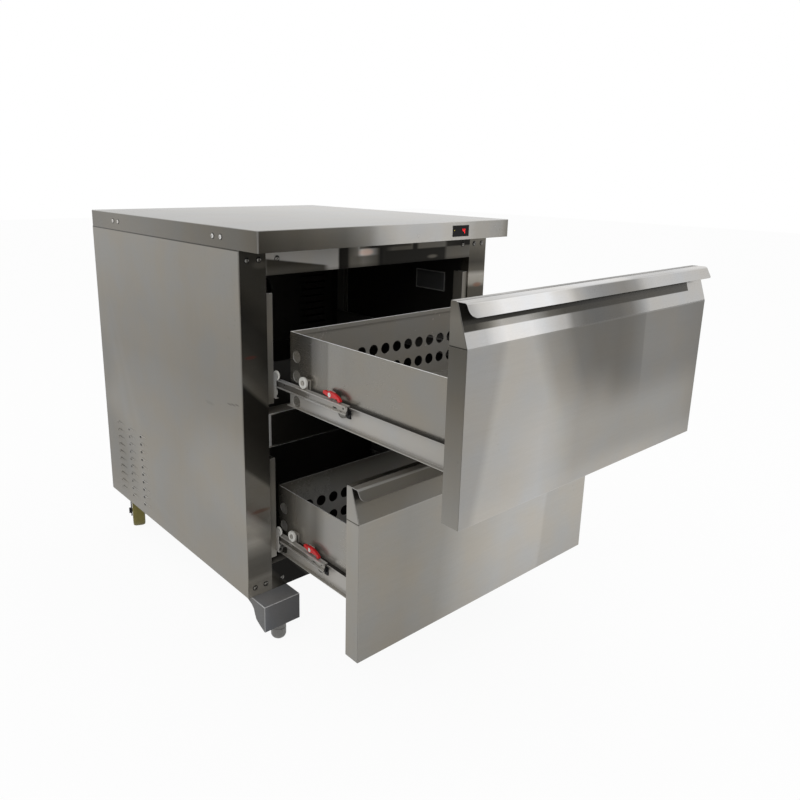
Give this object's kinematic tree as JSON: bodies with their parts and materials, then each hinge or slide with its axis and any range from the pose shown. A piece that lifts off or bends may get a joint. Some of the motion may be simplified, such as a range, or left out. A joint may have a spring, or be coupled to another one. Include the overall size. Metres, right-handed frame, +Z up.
{
  "type": "drawer freezer",
  "caption": "Under-counter stainless drawer freezer with full-width drawers on roller slides, standing open, a square worktop with a small controller, front feet and rear castors.",
  "frame": {"origin": "on the floor, at the middle of the freezer's bounding box with both drawers open", "axes": "+X to the freezer's right as one faces its front from behind it, +Y from the drawers to the back, +Z up; the drawers open towards -Y"},
  "size_m": [0.7148, 1.306, 0.886],
  "materials": {
    "worktop_steel": "satin sheet, light",
    "board": "plain core board",
    "side_steel": "satin sheet",
    "zinc": "plain galvanised sheet",
    "mirror_steel": "bright annealed sheet",
    "foam": "foamed in place",
    "liner_steel": "plain sheet",
    "screw_steel": "bright",
    "display_plastic": "glossy",
    "plate_metal": "bare plate",
    "fins": "plain fins",
    "black_plastic": "moulded",
    "black_paint": "satin black",
    "copper": "drawn tube",
    "bracket_steel": "blue-grey",
    "wheel_tread": "olive tread",
    "front_steel": "satin sheet",
    "gasket_rubber": "matt",
    "box_steel": "bright sheet",
    "latch_red": "moulded",
    "nylon": "turned"
  },
  "bodies": {
    "cabinet": {"worktop": "worktop_steel", "worktop_board": "board", "left_side_panel": "side_steel", "right_side_panel": "side_steel", "rear_panel": "zinc", "base_tray": "zinc", "left_front_post": "mirror_steel", "right_front_post": "mirror_steel", "top_rail": "mirror_steel", "middle_rail": "mirror_steel", "bottom_rail": "mirror_steel", "side_insulation": "foam", "wall_insulation": "foam", "inner_liner": "liner_steel", "slide_uprights": "zinc", "upper_outer_slides": "zinc", "lower_outer_slides": "zinc", "frame_screws": "screw_steel", "controller": "display_plastic", "rating_plate": "plate_metal", "evaporator_coil": "fins", "evaporator_cover": "liner_steel", "evaporator_motor": "zinc", "compressor": "black_paint", "condenser_coil": "fins", "condenser_shroud": "zinc", "refrigerant_tubes": "copper", "power_inlet": "black_plastic", "foot_brackets": "bracket_steel", "castor_forks": "black_paint"},
    "evaporator_fan": {"evaporator_fan": "black_plastic"},
    "condenser_fan": {"condenser_fan": "black_plastic"},
    "left_foot": {"left_foot": "zinc"},
    "right_foot": {"right_foot": "zinc"},
    "left_castor_wheel": {"left_castor_wheel": "wheel_tread"},
    "right_castor_wheel": {"right_castor_wheel": "wheel_tread"},
    "upper_drawer": {"upper_drawer_front": "front_steel", "upper_drawer_foam": "foam", "upper_drawer_inner_panel": "liner_steel", "upper_drawer_gasket": "gasket_rubber", "upper_drawer_box": "box_steel", "upper_drawer_slides": "zinc"},
    "upper_running_slides": {"upper_running_slides": "zinc"},
    "upper_latches": {"upper_latches": "latch_red"},
    "upper_top_rollers": {"upper_top_rollers": "nylon"},
    "upper_bottom_rollers": {"upper_bottom_rollers": "nylon"},
    "upper_drawer_wheels": {"upper_drawer_wheels": "nylon"},
    "upper_front_rollers": {"upper_front_rollers": "nylon"},
    "lower_drawer": {"lower_drawer_front": "front_steel", "lower_drawer_foam": "foam", "lower_drawer_inner_panel": "liner_steel", "lower_drawer_gasket": "gasket_rubber", "lower_drawer_box": "box_steel", "lower_drawer_slides": "zinc"},
    "lower_running_slides": {"lower_running_slides": "zinc"},
    "lower_latches": {"lower_latches": "latch_red"},
    "lower_top_rollers": {"lower_top_rollers": "nylon"},
    "lower_bottom_rollers": {"lower_bottom_rollers": "nylon"},
    "lower_drawer_wheels": {"lower_drawer_wheels": "nylon"},
    "lower_front_rollers": {"lower_front_rollers": "nylon"}
  },
  "joints": [
    {"name": "upper_drawer_slide", "type": "slide", "parent": "cabinet", "child": "upper_drawer", "axis": [0, -1, 0], "range_m": [-0.52, 0]},
    {"name": "upper_running_slide", "type": "slide", "parent": "cabinet", "child": "upper_running_slides", "axis": [0, -1, 0], "range_m": [-0.23, 0]},
    {"name": "upper_top_rollers_turn", "type": "hinge", "parent": "cabinet", "child": "upper_top_rollers", "pos_m": [0, -0.081, 0.58815], "axis": [1, 0, 0], "continuous": true},
    {"name": "upper_bottom_rollers_turn", "type": "hinge", "parent": "cabinet", "child": "upper_bottom_rollers", "pos_m": [0, -0.072, 0.55185], "axis": [1, 0, 0], "continuous": true},
    {"name": "upper_drawer_wheels_turn", "type": "hinge", "parent": "upper_drawer", "child": "upper_drawer_wheels", "pos_m": [0, -0.165, 0.59015], "axis": [1, 0, 0], "continuous": true},
    {"name": "upper_front_rollers_turn", "type": "hinge", "parent": "upper_running_slides", "child": "upper_front_rollers", "pos_m": [0, -0.286, 0.562], "axis": [1, 0, 0], "continuous": true},
    {"name": "upper_latch_pivot", "type": "hinge", "parent": "upper_running_slides", "child": "upper_latches", "pos_m": [0, -0.252, 0.5875], "axis": [-1, 0, 0], "range_deg": [0, 22]},
    {"name": "lower_drawer_slide", "type": "slide", "parent": "cabinet", "child": "lower_drawer", "axis": [0, -1, 0], "range_m": [-0.3, 0]},
    {"name": "lower_running_slide", "type": "slide", "parent": "cabinet", "child": "lower_running_slides", "axis": [0, -1, 0], "range_m": [-0.164, 0]},
    {"name": "lower_top_rollers_turn", "type": "hinge", "parent": "cabinet", "child": "lower_top_rollers", "pos_m": [0, -0.081, 0.23885], "axis": [1, 0, 0], "continuous": true},
    {"name": "lower_bottom_rollers_turn", "type": "hinge", "parent": "cabinet", "child": "lower_bottom_rollers", "pos_m": [0, -0.072, 0.20255], "axis": [1, 0, 0], "continuous": true},
    {"name": "lower_drawer_wheels_turn", "type": "hinge", "parent": "lower_drawer", "child": "lower_drawer_wheels", "pos_m": [0, -0.121, 0.24085], "axis": [1, 0, 0], "continuous": true},
    {"name": "lower_front_rollers_turn", "type": "hinge", "parent": "lower_running_slides", "child": "lower_front_rollers", "pos_m": [0, -0.22, 0.2127], "axis": [1, 0, 0], "continuous": true},
    {"name": "lower_latch_pivot", "type": "hinge", "parent": "lower_running_slides", "child": "lower_latches", "pos_m": [0, -0.186, 0.2382], "axis": [-1, 0, 0], "range_deg": [0, 22]},
    {"name": "left_foot_level", "type": "slide", "parent": "cabinet", "child": "left_foot", "axis": [0, 0, 1], "range_m": [-0.015, 0]},
    {"name": "left_castor_turn", "type": "hinge", "parent": "cabinet", "child": "left_castor_wheel", "pos_m": [-0.3105, 0.59, 0.045], "axis": [0.9272, -0.3746, 0], "continuous": true},
    {"name": "right_foot_level", "type": "slide", "parent": "cabinet", "child": "right_foot", "axis": [0, 0, 1], "range_m": [-0.015, 0]},
    {"name": "right_castor_turn", "type": "hinge", "parent": "cabinet", "child": "right_castor_wheel", "pos_m": [0.3105, 0.59, 0.045], "axis": [0.9272, 0.3746, 0], "continuous": true},
    {"name": "evaporator_fan_turn", "type": "hinge", "parent": "cabinet", "child": "evaporator_fan", "pos_m": [0, 0.489, 0.6505], "axis": [0, 1, 0], "continuous": true},
    {"name": "condenser_fan_turn", "type": "hinge", "parent": "cabinet", "child": "condenser_fan", "pos_m": [-0.2798, 0.4865, 0.2412], "axis": [1, 0, 0], "continuous": true}
  ],
  "couplings": [
    {"joint": "upper_running_slide", "follows": "upper_drawer_slide", "ratio": 0.4423},
    {"joint": "upper_top_rollers_turn", "follows": "upper_drawer_slide", "rad_per_m": -44.23},
    {"joint": "upper_bottom_rollers_turn", "follows": "upper_drawer_slide", "rad_per_m": 44.23},
    {"joint": "upper_drawer_wheels_turn", "follows": "upper_drawer_slide", "rad_per_m": 46.475},
    {"joint": "upper_front_rollers_turn", "follows": "upper_drawer_slide", "rad_per_m": 46.475},
    {"joint": "lower_running_slide", "follows": "lower_drawer_slide", "ratio": 0.5466},
    {"joint": "lower_top_rollers_turn", "follows": "lower_drawer_slide", "rad_per_m": -54.66},
    {"joint": "lower_bottom_rollers_turn", "follows": "lower_drawer_slide", "rad_per_m": 54.66},
    {"joint": "lower_drawer_wheels_turn", "follows": "lower_drawer_slide", "rad_per_m": 37.783},
    {"joint": "lower_front_rollers_turn", "follows": "lower_drawer_slide", "rad_per_m": 37.783}
  ]
}
